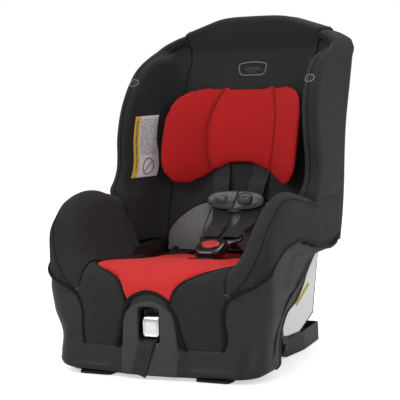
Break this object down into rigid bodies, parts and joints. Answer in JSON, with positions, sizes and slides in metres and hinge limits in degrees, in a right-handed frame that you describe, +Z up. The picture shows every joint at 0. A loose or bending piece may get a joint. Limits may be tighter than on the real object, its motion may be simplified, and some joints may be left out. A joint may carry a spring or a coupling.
{
  "type": "convertible child car seat",
  "caption": "Convertible child car seat: moulded shell with padded cover, harness with buckle and chest clip, head pillow, harness adjuster and fold-out recline stand.",
  "frame": {"origin": "on the floor under the middle of the bounding box", "axes": "+Z up, -Y the way the child faces, +X to the right when the seat is seen from in front"},
  "size_m": [0.4662, 0.538, 0.656],
  "materials": {
    "shell": "satin grain",
    "fabric_black": "woven",
    "fabric_red": "woven",
    "mesh_grey": "open mesh",
    "webbing": "ribbed webbing",
    "foam": "expanded beads",
    "chrome": "polished",
    "steel": "zinc plated",
    "black_plastic": "gloss",
    "grey_plastic": "satin",
    "red_plastic": "gloss",
    "rubber": "matt",
    "label": "printed vinyl"
  },
  "bodies": {
    "seat": {"shell": "shell", "stand_pin_left": "steel", "stand_pin_right": "steel", "front_pad_left": "rubber", "front_pad_right": "rubber", "adjuster_frame": "steel", "adjuster_pin": "steel", "adjuster_strap_rear": "webbing", "adjuster_strap_tail": "webbing", "splitter_plate": "steel", "crotch_anchor": "steel", "hip_anchor_left": "steel", "hip_anchor_right": "steel", "buckle_body": "black_plastic", "crotch_strap": "webbing", "shoulder_strap_left": "webbing", "shoulder_strap_right": "webbing", "hip_strap_left": "webbing", "hip_strap_right": "webbing", "back_pad": "fabric_black", "eps_foam_back": "foam", "eps_foam_left": "foam", "eps_foam_right": "foam", "wing_cover_left": "fabric_black", "wing_cover_right": "fabric_black", "side_pad_left": "fabric_black", "side_pad_right": "fabric_black", "arm_cover_left": "fabric_black", "arm_cover_right": "fabric_black", "crown_cover": "fabric_black", "seat_cushion": "fabric_red", "leg_bolster_left": "fabric_black", "leg_bolster_right": "fabric_black", "front_apron": "fabric_black", "lumbar_panel": "mesh_grey", "side_label_left": "label", "side_label_right": "label", "wing_label": "label"},
    "stand": {"recline_stand": "shell"},
    "lever": {"adjuster_lever": "chrome"},
    "button": {"buckle_button": "red_plastic"},
    "tongue_left": {"buckle_tongue_left": "steel"},
    "tongue_right": {"buckle_tongue_right": "steel"},
    "clip_left": {"chest_clip_left": "grey_plastic"},
    "clip_right": {"chest_clip_right": "grey_plastic"},
    "pillow": {"head_pillow": "fabric_red"}
  },
  "joints": [
    {"name": "stand_flip", "type": "hinge", "parent": "seat", "child": "stand", "pos_m": [0, -0.02405, 0.022], "axis": [-1, 0, 0], "range_deg": [0, 180]},
    {"name": "adjuster_release", "type": "hinge", "parent": "seat", "child": "lever", "pos_m": [0, -0.22305, 0.104], "axis": [-1, 0, 0], "range_deg": [0, 35], "stiffness_Nm_per_rad": 0.05},
    {"name": "buckle_press", "type": "slide", "parent": "seat", "child": "button", "axis": [0, 0.4226, -0.9063], "range_m": [0, 0.004], "stiffness_N_per_m": 400},
    {"name": "tongue_left_release", "type": "slide", "parent": "seat", "child": "tongue_left", "axis": [0, 0.9063, 0.4226], "range_m": [0, 0.018]},
    {"name": "tongue_right_release", "type": "slide", "parent": "seat", "child": "tongue_right", "axis": [0, 0.9063, 0.4226], "range_m": [0, 0.018]},
    {"name": "clip_height", "type": "slide", "parent": "seat", "child": "clip_left", "axis": [0, 0.2873, 0.9578], "range_m": [-0.01, 0.016], "stiffness_N_per_m": 200},
    {"name": "clip_open", "type": "slide", "parent": "clip_left", "child": "clip_right", "axis": [1, 0, 0], "range_m": [0, 0.026]},
    {"name": "pillow_height", "type": "slide", "parent": "seat", "child": "pillow", "axis": [0, 0.2873, 0.9578], "range_m": [0, 0.045]}
  ]
}
